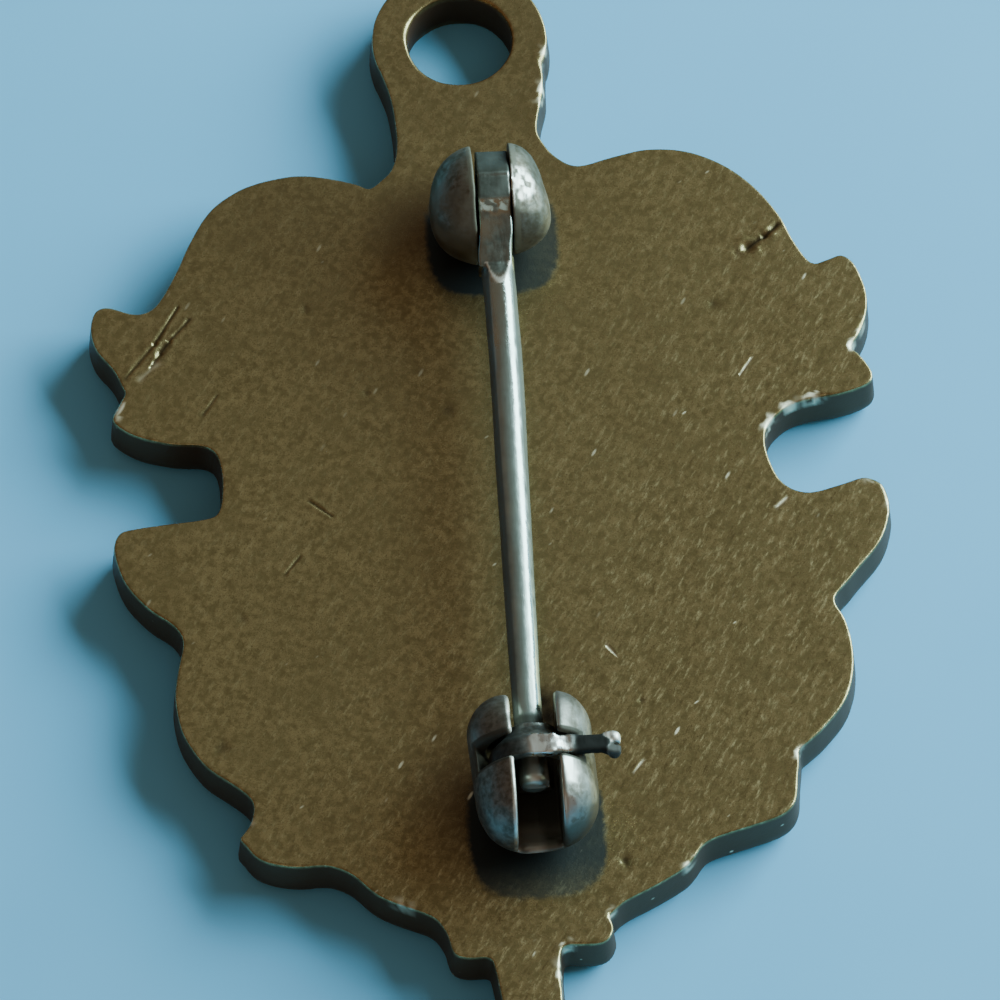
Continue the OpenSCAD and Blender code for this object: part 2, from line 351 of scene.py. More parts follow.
def blend(tree, share, a, b):
    return add(tree, "ShaderNodeMix", {0: share, 2: a, 3: b}).outputs[0]


def blend_colour(tree, share, a, b):
    """A mix of two colours, from 0 for the first to 1 for the second."""
    a, b = [c if isinstance(c, bpy.types.NodeSocket) else (*c, 1) for c in (a, b)]
    return add(tree, "ShaderNodeMix", {0: share, 6: a, 7: b}, data_type="RGBA").outputs[2]


def mark_value(tree, name):
    return add(tree, "ShaderNodeAttribute", {}, attribute_name=name).outputs["Fac"]


def dashes(tree, place, scale, thin, share):
    """Short bright dashes: 1 inside one, and 0 elsewhere."""
    cells = add(tree, "ShaderNodeTexVoronoi", {"Vector": place, "Scale": scale})
    near = span(tree, cells.outputs["Distance"], thin, thin * 0.4)
    picked = add(tree, "ShaderNodeSeparateColor", {0: cells.outputs["Color"]}).outputs[0]
    return product(tree, near, span(tree, picked, 1 - share, 1 - share + 0.05))


def new_material(name):
    material = bpy.data.materials.new(name)
    material.use_nodes = True
    tree = material.node_tree
    return material, tree, tree.nodes["Principled BSDF"]


BUMP_DEPTH = 0.006


def bump(tree, height):
    """A surface normal that is raised by height times the bump's depth."""
    depth = BUMP_DEPTH * MM
    return add(tree, "ShaderNodeBump", {"Height": height, "Distance": depth}).outputs["Normal"]


GRAIN_TURN = math.radians(-58)

# Dark patches on the back below the two balls: painted reflections and shadows of the balls, partly
# solder stain. A row is a patch's middle, its half width and half length, and how much weaker it is
# at its right side and at its lower end.
STAINS_AND_REFLECTIONS = [
    (0.53, 7.90, 1.86, 1.88, 0.12, 0.0),
    (0.44, -10.85, 1.86, 2.05, 0.05, 0.22),
]

# How square a patch's outline is, from 2 for an ellipse.
STAIN_AND_REFLECTION_POWER = 3.2


def stain_and_reflection(tree, place, ragged, row):
    """How dark a painted reflection and stain patch is: it has square shoulders and a ragged edge.
    """
    x, y, half_width, half_length, weaker_right, weaker_low = row
    local = vector_maths(tree, "SUBTRACT", place, (x, y, BACK))[0]
    local = vector_maths(tree, "MULTIPLY", local, (1 / half_width, 1 / half_length, 0))[0]
    parts = add(tree, "ShaderNodeSeparateXYZ", {0: local}).outputs
    powers = [maths(tree, "ABSOLUTE", part) for part in parts[:2]]
    powers = [maths(tree, "POWER", part, STAIN_AND_REFLECTION_POWER) for part in powers]
    away = sum_of(tree, *powers)
    away = sum_of(tree, away, span(tree, ragged, 0.3, 0.7, -0.07, 0.07))
    dark = span(tree, away, 1.16, 0.80)
    dark = product(tree, dark, span(tree, parts[0], -0.5, 1, 1, 1 - weaker_right))
    return product(tree, dark, span(tree, parts[1], -1.0, -0.4, 1 - weaker_low, 1))


BRASS = {
    "dark": (0.25, 0.185, 0.076),
    "light": (0.49, 0.38, 0.175),
    "blotch": (0.31, 0.24, 0.105),
    "bright rub": (0.80, 0.68, 0.36),
    "dark rub": (0.20, 0.145, 0.06),
    "speck": (0.16, 0.12, 0.055),
    "shade": (0.13, 0.085, 0.045),
    "wall": (0.14, 0.078, 0.045),
    "stain_and_reflection": (0.042, 0.052, 0.052),
    "dirt_and_shade": (0.03, 0.022, 0.014),
    "bare_and_highlight": (0.95, 0.86, 0.62),
}


def brass():
    """Old brass gone olive brown: mottled, with rubbing marks across it and bright nicks."""
    material, tree, shader = new_material("tarnished_brass")
    place = millimetres(tree)
    across = millimetres(tree, GRAIN_TURN, (0.3, 1, 1))
    steep = millimetres(tree, math.radians(-35), (0.35, 1, 1))
    blotch = grain(tree, place, 0.7, 3)
    mottle = grain(tree, place, 4.5, 4, 0.75)
    rubbed = grain(tree, across, 9, 3, 0.7)
    fine = grain(tree, place, 24, 2)
    rubbing = mark_value(tree, "rubbing")

    wall = mark_value(tree, "wall")
    worn = dashes(tree, across, 3.0, 0.17, 0.12)
    worn = highest(tree, worn, dashes(tree, steep, 3.6, 0.13, 0.08))
    bare_and_highlight = highest(tree, product(tree, worn, rubbing), mark_value(tree, "bare_and_highlight"))
    # Painted reflections and shadows of the two balls, partly solder stain.
    stain_and_reflection_share = highest(tree, *[stain_and_reflection(tree, place, mottle, row) for row in STAINS_AND_REFLECTIONS])
    colour = blend_colour(tree, span(tree, mottle, 0.34, 0.66), BRASS["dark"], BRASS["light"])
    layers = [
        ("blotch", span(tree, blotch, 0.42, 0.66, 0, 0.4)),
        ("bright rub", product(tree, span(tree, rubbed, 0.52, 0.74, 0, 0.9), rubbing)),
        ("dark rub", product(tree, span(tree, rubbed, 0.46, 0.28, 0, 0.8), rubbing)),
        ("speck", span(tree, fine, 0.54, 0.75, 0, 0.8)),
        ("shade", mark_value(tree, "shade")),
        ("wall", wall),
        ("stain_and_reflection", stain_and_reflection_share),
        ("dirt_and_shade", mark_value(tree, "dirt_and_shade")),
        ("bare_and_highlight", bare_and_highlight),
    ]
    for name, share in layers:
        colour = blend_colour(tree, share, colour, BRASS[name])

    rough = span(tree, mottle, 0.3, 0.7, 0.32, 0.24)
    for share, roughness in ((wall, 0.55), (stain_and_reflection_share, 0.5), (bare_and_highlight, 0.55)):
        rough = blend(tree, share, rough, roughness)
    height = sum_of(tree, mottle, product(tree, fine, 0.4))
    height = sum_of(tree, product(tree, rubbed, 0.6), height)
    feed(tree, shader, {
        "Base Color": colour, "Roughness": rough, "Metallic": 0.88, "Specular IOR Level": 0.25,
        "Normal": bump(tree, height),
    })
    return material


BARE_METAL = (0.86, 0.80, 0.68)
SOOT_AND_SHADE = (0.060, 0.055, 0.040)
DULLER = 0.24

# Each metal's bright and tarnished colours, how glossy and how clean it is, and the colour of its
# dirt and painted shade.
METALS = {
    "hinge_nickel": ((0.57, 0.56, 0.48), (0.125, 0.105, 0.072), 0.31, 0.24, (0.15, 0.14, 0.10)),
    "rivet_steel": ((0.5, 0.5, 0.48), (0.14, 0.13, 0.11), 0.36, 0.45, SOOT_AND_SHADE),
    "stem_nickel": ((0.55, 0.62, 0.54), (0.10, 0.105, 0.085), 0.17, 0.40, (0.040, 0.043, 0.033)),
    "catch_nickel": ((0.58, 0.57, 0.50), (0.12, 0.105, 0.078), 0.30, 0.27, SOOT_AND_SHADE),
    "lock_nickel": ((0.78, 0.80, 0.75), (0.11, 0.115, 0.095), 0.24, 0.32, (0.018, 0.020, 0.018)),
}


def nickel(name):
    """A pale metal with dull tarnish, cleaner where it is rubbed and where highlights are painted
    on; its dark marks hold both dirt and painted shade.
    """
    bright, tarnish, gloss, clean, soot_and_shade = METALS[name]
    material, tree, shader = new_material(name)
    place = millimetres(tree)
    cloud = grain(tree, place, 0.8, 3, 0.5)
    spots = grain(tree, place, 5.5, 3, 0.6)
    lines = grain(tree, millimetres(tree, 0, (1, 0.12, 1)), 14, 2)
    share = span(tree, cloud, clean - 0.22, clean + 0.28)
    share = product(tree, share, span(tree, spots, 0.3, 0.7, 1.0, 0.75))
    share = product(tree, share, span(tree, mark_value(tree, "worn"), 0, 1, 1.0, 0.05))
    share = highest(tree, share, mark_value(tree, "dull"))
    colour = blend_colour(tree, share, bright, tarnish)
    dirt_and_shade, bare_and_highlight = mark_value(tree, "dirt_and_shade"), mark_value(tree, "bare_and_highlight")
    colour = blend_colour(tree, dirt_and_shade, colour, soot_and_shade)
    colour = blend_colour(tree, bare_and_highlight, colour, BARE_METAL)
    streaky = span(tree, lines, 0.3, 0.7, -0.03, 0.04)
    rough = sum_of(tree, span(tree, share, 0, 1, gloss, gloss + DULLER), streaky)
    rough = blend(tree, dirt_and_shade, rough, 0.6)
    rough = blend(tree, bare_and_highlight, rough, 0.45)
    height = sum_of(tree, spots, product(tree, lines, 0.5))
    feed(tree, shader, {
        "Base Color": colour, "Roughness": rough, "Metallic": span(tree, dirt_and_shade, 0, 1, 1, 0.3),
        "Specular IOR Level": 0.3, "Specular Tint": (0.50, 0.42, 0.34, 1),
        "Normal": bump(tree, height),
    })
    return material


# Badge plate

EDGE_STEP = 0.1
FACE_STEP = 0.11
FRONT_STEP = 0.35
SCRATCH_STEP = 0.05
LOOP_HOLE_R = 1.5
LOOP_CHAMFER = 0.10
LOOP_CHAMFER_VARIES = 0.04
FIELD_DEPTH = 0.3
FIELD_SLOPE = 0.16
PEBBLE_H = 0.02
PEBBLE_SIZE = 0.8
RIM_W = 1.1
FIELD_LOW_Y, FIELD_HIGH_Y = -13.175, 9.625
SHIFT_SHARE = 0.12


def flat_loops(name, height):
    """The closed loops round a node's flat faces at a height, the longest first."""
    mesh = frame["nodes"][name].data
    co = np.array([v.co for v in mesh.vertices]) / MM
    key = [tuple(c) for c in np.round(co, 3)]
    sides = set()
    for face in mesh.polygons:
        corners = [key[i] for i in face.vertices]
        if all(abs(c[2] - height) < 0.002 for c in corners):
            sides.update(zip(corners, corners[1:] + corners[:1]))
    after = {a: b for a, b in sides if (b, a) not in sides}
    loops = []
    while after:
        first, here = after.popitem()
        loop = [first]
        while here != first:
            loop.append(here)
            here = after.pop(here)
        loops.append(np.array(loop)[:, :2])
    return sorted(loops, key=len, reverse=True)


def respaced(loop, step):
    """Points at even spacing on a smooth closed curve through a loop's points."""
    gap = np.linalg.norm(np.roll(loop, -1, axis=0) - loop, axis=1)
    reach = np.concatenate([[0], np.cumsum(gap)])
    count = int(round(reach[-1] / step))
    at = np.arange(count) * reach[-1] / count
    i = np.clip(np.searchsorted(reach, at, side="right") - 1, 0, len(loop) - 1)
    t = ((at - reach[i]) / gap[i])[:, None]
    a, b, c, d = (loop[(i + k) % len(loop)] for k in (-1, 0, 1, 2))
    return 0.5 * (2 * b + (c - a) * t + (2 * a - 5 * b + 4 * c - d) * t ** 2
                  + (3 * b - a - 3 * c + d) * t ** 3)


def outward(loop):
    """The unit normals of a loop that runs anticlockwise."""
    along = np.roll(loop, -1, axis=0) - np.roll(loop, 1, axis=0)
    along /= np.linalg.norm(along, axis=1)[:, None]
    return np.column_stack([along[:, 1], -along[:, 0]])


def tree_of(points):
    tree = KDTree(len(points))
    for i, p in enumerate(points):
        tree.insert((p[0], p[1], 0), i)
    tree.balance()
    return tree


def nearest(tree, points):
    return np.array([tree.find((p[0], p[1], 0))[2] for p in points])


def moved_out(loop, tree, distance):
    """A loop moved out by a distance at each point. Where it would cross itself it is pinched."""
    distance = np.broadcast_to(distance, len(loop))
    moved = loop + outward(loop) * distance[:, None]
    good = nearest(tree, moved) > 0.96 * np.abs(distance) - 1e-6
    for i in np.flatnonzero(~good):
        before = after = i
        while not good[before % len(loop)]:
            before -= 1
        while not good[after % len(loop)]:
            after += 1
        moved[i] = (moved[before % len(loop)] + moved[after % len(loop)]) / 2
    return moved


def is_inside(p, loop):
    """Whether each point lies inside a closed loop."""
    inside = np.zeros(len(p), bool)
    x, y = p.T
    for (ax, ay), (bx, by) in zip(loop, np.roll(loop, -1, axis=0)):
        if ay != by:
            crosses = (ay > y) != (by > y)
            inside ^= crosses & (x < ax + (y - ay) * (bx - ax) / (by - ay))
    return inside


def hex_grid(low, high, step, seed):
    """Points on a grid of triangles over a box, each shifted a little at random."""
    random = np.random.default_rng(seed)
    rows = np.arange(low[1], high[1], step * math.sqrt(3) / 2)
    points = []
    for k, y in enumerate(rows):
        x = np.arange(low[0] + (k % 2) * step / 2, high[0], step)
        points.append(np.column_stack([x, np.full(len(x), y)]))
    points = np.vstack(points)
    return points + random.uniform(-SHIFT_SHARE, SHIFT_SHARE, points.shape) * step


def filled(outer, hole, inner):
    """Triangles that fill an outer loop round a hole, as numbers into all three in turn."""
    points = np.vstack([outer, hole, inner])
    edges = []
    for start, n in ((0, len(outer)), (len(outer), len(hole))):
        edges += [(start + i, start + (i + 1) % n) for i in range(n)]
    places, _, faces, origins, _, _ = delaunay_2d_cdt(
        [Vector(p) for p in points], edges, [], 0, 1e-7)
    tree = tree_of(points)
    source = np.array([o[0] if o else tree.find((*p, 0))[1] for p, o in zip(places, origins)])
    middle = np.array(places)[np.array(faces)].mean(axis=1)
    faces = source[np.array(faces)]
    a, b, c = faces.T
    whole = (a != b) & (b != c) & (c != a)
    return faces[whole & is_inside(middle, outer) & ~is_inside(middle, hole)]


# Scratches and dents on the back. A row is a scratch's two ends, its width and depth, and how
# dark and how bright it is inside, each from 0 to 1.
SCRATCHES = [
    (-8.39, 6.28, -9.10, 5.10, 0.10, 0.03, 0.75, 0.0),
    (-9.10, 5.10, -9.95, 4.05, 0.11, 0.03, 0.60, 0.0),
    (-8.09, 5.85, -8.70, 5.15, 0.11, 0.03, 0.75, 0.0),
    (-8.70, 5.15, -8.95, 4.80, 0.20, 0.04, 0.80, 0.0),
    (-8.95, 4.80, -9.25, 4.35, 0.09, 0.03, 0.65, 0.0),
    (-9.05, 4.45, -9.55, 4.00, 0.16, 0.02, 0.0, 0.35),
    (-7.44, 3.33, -7.85, 2.75, 0.09, 0.02, 0.55, 0.0),
    (-5.04, -0.28, -4.50, -0.75, 0.10, 0.03, 0.70, 0.0),
    (-5.44, -1.98, -5.84, -2.48, 0.08, 0.02, 0.55, 0.0),
    (8.62, 7.85, 8.15, 7.45, 0.12, 0.05, 0.90, 0.0),
    (8.15, 7.45, 7.66, 7.12, 0.22, 0.06, 0.90, 0.0),
    (7.66, 7.12, 7.35, 6.98, 0.26, 0.03, 0.35, 0.0),
    (7.46, 3.48, 7.10, 2.98, 0.07, 0.02, 0.0, 0.75),
    (8.05, -1.05, 7.78, -1.30, 0.08, 0.02, 0.0, 0.85),
    (3.45, -8.95, 3.20, -9.25, 0.07, 0.02, 0.0, 0.7),
    (2.75, -5.35, 2.98, -5.68, 0.07, 0.02, 0.0, 0.7),
]

# Pits: a row is its place, its radius, its depth, and how dark it is.
PITS = [
    (2.71, -11.93, 0.20, 0.04, 0.75),
    # These two rows have no depth: they are painted shadow beside the catch's slot.
    (0.85, -6.95, 0.45, 0.00, 0.90),
    (1.00, -7.45, 0.60, 0.00, 1.00),
    (3.56, -7.10, 0.13, 0.03, 0.65),
    (-7.09, -3.83, 0.18, 0.02, 0.45),
    (-7.84, -7.78, 0.26, 0.02, 0.40),
    (-4.84, 5.98, 0.16, 0.02, 0.45),
    (-1.06, 2.40, 0.25, 0.02, 0.45),
    (6.55, 5.35, 0.22, 0.02, 0.40),
    (-3.30, 3.10, 0.20, 0.02, 0.35),
]

# Places on the edge that are rubbed down to bare metal: a row is a place, its radius, how far
# the edge is worn back there, and how bright it is.
NICKS = [
    (-9.90, 2.95, 0.62, 0.30, 1.0),
    (7.70, 1.45, 0.50, 0.07, 0.9),
    (8.35, 2.00, 0.45, 0.08, 0.9),
    (9.10, 2.22, 0.55, 0.10, 0.85),
    (10.25, 3.75, 0.35, 0.12, 0.7),
    (10.55, 4.40, 0.40, 0.10, 0.5),
    (2.28, 12.70, 0.60, 0.10, 0.8),
    (2.35, 13.90, 0.60, 0.14, 0.5),
    (0.45, 13.05, 0.40, 0.06, 1.0),
    (-1.45, 14.90, 0.60, 0.05, 0.9),
    (-1.10, 15.90, 0.50, 0.05, 0.9),
    (7.62, -8.95, 0.40, 0.08, 0.6),
    (4.45, -12.10, 0.35, 0.08, 0.6),
    (2.20, -13.45, 0.30, 0.08, 0.9),
    (0.88, -15.20, 0.70, 0.07, 0.9),
    (0.95, -14.25, 0.35, 0.05, 0.8),
    (10.60, -1.20, 0.60, 0.12, 0.45),
    (10.45, -0.65, 0.40, 0.10, 0.4),
    (-7.35, -10.10, 0.40, 0.06, 0.5),
    (-3.30, -12.90, 0.50, 0.05, 0.4),
]


def near_places(p, rows):
    """How near each point is to listed places, from 0 outside their radius to 1 at them."""
    shares = []
    for row in rows:
        away = np.hypot(p[:, 0] - row[0], p[:, 1] - row[1])
        shares.append(ease(1 - away / row[2]))
    return np.array(shares)


# The back's waves: a row is their height, their size and their seed.
WAVES = [(0.008, 2.3, 11), (0.003, 0.7, 12), (0.0016, 0.25, 13)]


def back_relief(p):
    """The back's height above or below flat, and how dark and how bright its marks are."""
    rise = sum(height * noise(p, size, seed) for height, size, seed in WAVES)
    dark = np.zeros(len(p))
    bright = np.zeros(len(p))
    for ax, ay, bx, by, width, depth, darkness, brightness in SCRATCHES:
        away = from_stretch(p, (ax, ay), (bx, by))
        wobble = width * (1 + 0.5 * noise(p, 0.3, 21))
        inside = np.exp(-(away / (0.45 * wobble)) ** 2)
        burr = np.exp(-((away - 0.85 * wobble) / (0.35 * wobble)) ** 2)
        rise += depth * (0.35 * burr - inside)
        dark = np.maximum(dark, darkness * inside)
        bright = np.maximum(bright, brightness * inside)
    for x, y, r, depth, darkness in PITS:
        away = np.hypot(p[:, 0] - x, p[:, 1] - y) * (1 + 0.35 * noise(p, 0.2, 22))
        inside = np.exp(-(away / (0.7 * r)) ** 2)
        rise -= depth * inside
        dark = np.maximum(dark, darkness * inside)
    return rise, dark, bright


# Places across a scratch, in its widths, where the mesh gets points.
ACROSS_SCRATCH = (-1.4, -0.9, -0.45, 0, 0.45, 0.9, 1.4)


def scratch_points(spacing):
    """Extra points along the scratches and pits, so that the mesh can follow them."""
    points = []
    for ax, ay, bx, by, width, _, _, _ in SCRATCHES:
        a, b = np.array([ax, ay]), np.array([bx, by])
        length = np.linalg.norm(b - a)
        side = np.array([-(b - a)[1], (b - a)[0]]) / length
        for t in np.linspace(0, 1, max(2, int(length / spacing))):
            for k in ACROSS_SCRATCH:
                points.append(a + t * (b - a) + k * width * side)
    for x, y, r, _, _ in PITS:
        for ring in range(1, int(1.6 * r / spacing) + 1):
            for angle in np.linspace(0, 2 * math.pi, 6 * ring, endpoint=False):
                points.append(np.array([x + ring * spacing * math.cos(angle),
                                        y + ring * spacing * math.sin(angle)]))
    return np.array(points)


def without_close(points, others, gap):
    """Points that keep a gap from all others."""
    return points[nearest(tree_of(others), points) > gap]


def bridged(first, count, rows):
    """Quads between rows of points that are numbered one after another."""
    i = np.arange(count)
    j = (i + 1) % count
    strip = np.column_stack([i, count + i, count + j, j])
    return np.vstack([first + r * count + strip for r in range(rows - 1)])


# The edge's section from the back down to the front.
CORNER_ROWS = 5
CORNER_R = 0.05
CORNER_VARIES = 0.03
CORNER_DROP = 0.8
FLAT_BAND = 0.06
WALL_ROWS = 7
WALL_FLARE = 0.1
WALL_RIPPLE = 0.008
SHOULDER_ROWS = 5
SHOULDER_H = 0.45
SHOULDER_W = 0.4


def wall_rows():
    """The wall's rows below the back's corner, as pairs of outward distance and height."""
    rows = []
    for t in np.linspace(0.14, 1, WALL_ROWS):
        rows.append((WALL_FLARE * t, BACK - t * (BACK - SHOULDER_H)))
    for t in np.linspace(0.2, 1, SHOULDER_ROWS):
        turn = t * math.pi / 2
        out = WALL_FLARE - SHOULDER_W * (1 - math.cos(turn))
        rows.append((out, SHOULDER_H * (1 - math.sin(turn))))
    return rows


def edge_points(outline, tree):
    """Rows of points round the plate's edge, from its back to its front."""
    worn = near_places(outline, NICKS) * np.array([row[3] for row in NICKS])[:, None]
    corner = CORNER_R + CORNER_VARIES * np.clip(noise(outline, 1.3, 31), 0, 1) + worn.max(axis=0)
    rows = [np.column_stack([moved_out(outline, tree, -corner - FLAT_BAND), 0 * corner + BACK])]
    for k in range(CORNER_ROWS):
        turn = k / CORNER_ROWS * math.pi / 2
        loop = moved_out(outline, tree, -corner * (1 - math.sin(turn)))
        rows.append(np.column_stack([loop, BACK - CORNER_DROP * corner * (1 - math.cos(turn))]))
    for out, height in wall_rows():
        ripple = WALL_RIPPLE * noise(np.column_stack([outline, 0 * corner + height]), 0.5, 32)
        loop = moved_out(outline, tree, out - np.abs(ripple))
        low = BACK - CORNER_DROP * corner - 0.02 * (1 - height / BACK)
        rows.append(np.column_stack([loop, np.minimum(height, low)]))
    return rows


def hole_points(hole):
    """Rows of points down the loop's hole, from the back to the front."""
    middle = hole.mean(axis=0)
    spoke = (hole - middle) / np.linalg.norm(hole - middle, axis=1)[:, None]
    chamfer = LOOP_CHAMFER + LOOP_CHAMFER_VARIES * noise(hole, 0.8, 33)
    mouth = [(1.0, 0.0), (0.6, 0.12), (0.25, 0.45), (0.0, 1.1)]
    shape = [(share * chamfer, BACK - drop * chamfer) for share, drop in mouth]
    shape = [(chamfer + FLAT_BAND, 0 * chamfer + BACK)] + shape
    shape += [(0 * chamfer, 0 * chamfer + height) for height in np.linspace(BACK - 0.3, 0.3, 7)]
    shape += [(share * chamfer, drop * chamfer) for share, drop in reversed(mouth)]
    return [
        np.column_stack([middle + spoke * (LOOP_HOLE_R + out)[:, None], height])
        for out, height in shape
    ]


def on_face(points, outer, hole):
    """The points that lie inside the outline and outside the hole."""
    return points[is_inside(points, outer) & ~is_inside(points, hole)]


def back_points(outer, hole, tree):
    """Points over the back, with scratches, pits and slight waves."""
    rims = np.vstack([outer, hole])
    fine = on_face(scratch_points(SCRATCH_STEP), outer, hole)
    fine = without_close(fine, rims, SCRATCH_STEP)
    grid = on_face(hex_grid(PLATE_LOW, PLATE_HIGH, FACE_STEP, 5), outer, hole)
    grid = without_close(grid, np.vstack([rims, fine]), 0.6 * FACE_STEP)
    flat = np.vstack([fine, grid])
    rise, _, _ = back_relief(flat)
    fade = rises(nearest(tree, flat), CORNER_R, 0.3)
    return np.column_stack([flat, BACK + rise * fade])


def front_points(outer, hole, outline, tree):
    """Points over the front, with its rim and its shallow field."""
    steps = np.vstack([moved_out(outline, tree, -RIM_W - d)[::2] for d in (-0.04, 0.05, 0.16)])
    steps = steps[(steps[:, 1] > FIELD_LOW_Y - 0.5) & (steps[:, 1] < FIELD_HIGH_Y + 0.5)]
    steps = steps[is_inside(steps, outer)]
    steps = steps[nearest(tree, steps) > RIM_W - 0.1]
    grid = on_face(hex_grid(PLATE_LOW, PLATE_HIGH, FRONT_STEP, 6), outer, hole)
    grid = without_close(grid, np.vstack([outer, hole]), 0.2)
    grid = without_close(grid, steps, 0.12)
    flat = np.vstack([steps, grid])
    sunk = rises(nearest(tree, flat), RIM_W - 0.02, FIELD_SLOPE)
    sunk *= rises(flat[:, 1], FIELD_LOW_Y, 0.2) * falls(flat[:, 1], FIELD_HIGH_Y, 0.2)
    pebbles = PEBBLE_H * np.abs(noise(flat, PEBBLE_SIZE, 34))
    return np.column_stack([flat, sunk * (FIELD_DEPTH - pebbles)])


def plate_mesh(outline, hole, tree):
    """The plate's points and faces."""
    edge_rows = edge_points(outline, tree)
    hole_rows = hole_points(hole)
    n, m = len(outline), len(hole)
    hole_first = len(edge_rows) * n
    faces = [bridged(0, n, len(edge_rows)), bridged(hole_first, m, len(hole_rows))[:, ::-1]]
    points = edge_rows + hole_rows
    for side, row in (("back", 0), ("front", -1)):
        outer, inner = edge_rows[row][:, :2], hole_rows[row][:, :2]
        start = sum(len(p) for p in points)
        if side == "back":
            points.append(back_points(outer, inner, tree))
        else:
            points.append(front_points(outer, inner, outline, tree))
        number = np.concatenate([
            row % len(edge_rows) * n + np.arange(n),
            hole_first + row % len(hole_rows) * m + np.arange(m),
            start + np.arange(len(points[-1])),
        ])
        made = number[filled(outer, inner, points[-1][:, :2])]
        faces.append(made if side == "back" else made[:, ::-1])
    return np.vstack(points), [tuple(f) for group in faces for f in group.tolist()]


# Painted shade on the back: broad darker places for the shadows left of the two balls and beside
# the catch's slot, and a darker top. A row is a place, its two radii, and how dark it is.
SHADES = [
    (-0.9, 8.3, 3.6, 3.0, 0.92),
    (-0.9, -9.9, 3.0, 3.4, 0.95),
    (-4.0, 9.0, 8.0, 9.0, 0.25),
    (0.0, 13.0, 6.0, 7.0, 0.20),
    (0.95, -7.3, 0.7, 1.6, 0.95),
]


def shade(flat):
    """How dark the back's painted shade is, which is strongest left of the two balls."""
    total = np.zeros(len(flat))
    for x, y, across, along, dark in SHADES:
        away = np.hypot((flat[:, 0] - x) / across, (flat[:, 1] - y) / along)
        total = np.maximum(total, dark * ease(1 - away))
    return np.clip(total + 0.06 * noise(flat, 3.1, 42) * (total > 0.02), 0, 1)


def plate_marks(p, tree):
    """What the plate's material reads at each point."""
    flat, z = p[:, :2], p[:, 2]
    back = z > BACK - 0.3
    _, dark, bright = back_relief(flat)
    dark, bright = dark * back, bright * back
    edge = nearest(tree, flat)
    wall = falls(z, BACK - 0.06, 0.08) * rises(z, 0.02, 0.1)
    close = near_places(flat, NICKS) * np.array([row[4] for row in NICKS])[:, None]
    rubbed = close.max(axis=0) * (edge < 0.16) * (z > BACK - 0.35)
    rubbed = rubbed * patches(p, 0.16, 41, 0.5, 1.4)
    low_right = rises(flat[:, 0] - 0.6 * flat[:, 1], -4, 14)
    return {
        "dirt_and_shade": dark,
        "bare_and_highlight": np.maximum(bright, np.clip(1.6 * rubbed, 0, 1)),
        "wall": wall,
        "shade": shade(flat),
        "rubbing": 0.3 + 0.7 * low_right,
    }


OUTLINE_WAVE = 0.008


def badge():
    loops = flat_loops("badge_plate", BACK)
    outline = respaced(loops[0], EDGE_STEP)
    outline += outward(outline) * (OUTLINE_WAVE * noise(outline, 0.6, 51))[:, None]
    hole = respaced(loops[1], EDGE_STEP)[::-1]
    tree = tree_of(outline)
    points, faces = plate_mesh(outline, hole, tree)
    marks = plate_marks(points, tree)
    make_piece("badge_back", points, faces, "badge", ["badge_plate"], brass(), marks)


# Hinge

RIVET_R = 0.3
RIVET_HALF = 1.1
RIVET_PLAY = 0.03
RIVET_MIDDLE = np.array([KNUCKLE[0], PIVOT[1], PIVOT[2]])
HEAD_HALF = 0.47
LEFT_GAP = 0.075
RIGHT_GAP = 0.02
FOOT_R = 1.05
FOOT_H = 0.1
KNUCKLE_R = 1.6
KNUCKLE_H = 1.4
KNUCKLE_BALL = np.array([KNUCKLE[0], KNUCKLE[1], BACK + KNUCKLE_H])
HAMMERED_FACE = np.array([0.52, -0.15, 0.84])
TARNISH_TOP = 2.75

# A cheek of the hinge: how far its middle lies from the ball's, its turn in degrees, its half
# sizes, and how square it is seen from above.
LEFT_CHEEK = ((0.0, -0.05, -0.04), -8, (1.68, 1.69, 1.70), 2.5)
RIGHT_CHEEK = ((0.03, -0.02, 0.06), 12, (1.57, 1.60, 1.56), 3.3)


def above_back(p, shape):
    return both(shape, BACK - p[:, 2])


def dents(p, size, depth, seed):
    return depth * (noise(p, size, seed) + 0.5 * noise(p, size / 2.3, seed + 1))


def level_away(p, power):
    """How far points lie from the Z axis, measured round a square with rounded corners."""
    return (np.abs(p[:, :2]) ** power).sum(axis=1) ** (1 / power)


def cheek_field(p, shift, turn, half, power):
    """A ball whose outline from above is drawn out towards a square, turned about Z."""
    q = turned(p - (KNUCKLE_BALL + shift), 2, math.radians(turn)) / half
    return (np.hypot(level_away(q, power), q[:, 2]) - 1) * min(half)


def foot(p, at):
    """The low collar of solder that holds a ball down."""
    middle = np.array([at[0], at[1], BACK])
    return disc(p, middle, 2, FOOT_R + 0.06 * noise(p, 0.9, 61), FOOT_H)


def grime_and_shade(p, top):
    """Dark tarnish low down on a ball and under it, which also stands in for painted shade there.
    """
    return ease((BACK + top - p[:, 2]) / 0.7 + 0.25 * noise(p, 0.5, 62))


def low_tarnish(p):
    """Tarnish low down on a ball, where nothing rubs it."""
    ragged = p[:, 2] - 0.3 * noise(p, 0.5, 68)
    return 0.95 * falls(ragged, BACK + TARNISH_TOP, 0.8)


def blank_marks(p):
    return {name: np.zeros(len(p)) for name in ("worn", "dull", "dirt_and_shade", "bare_and_highlight")}


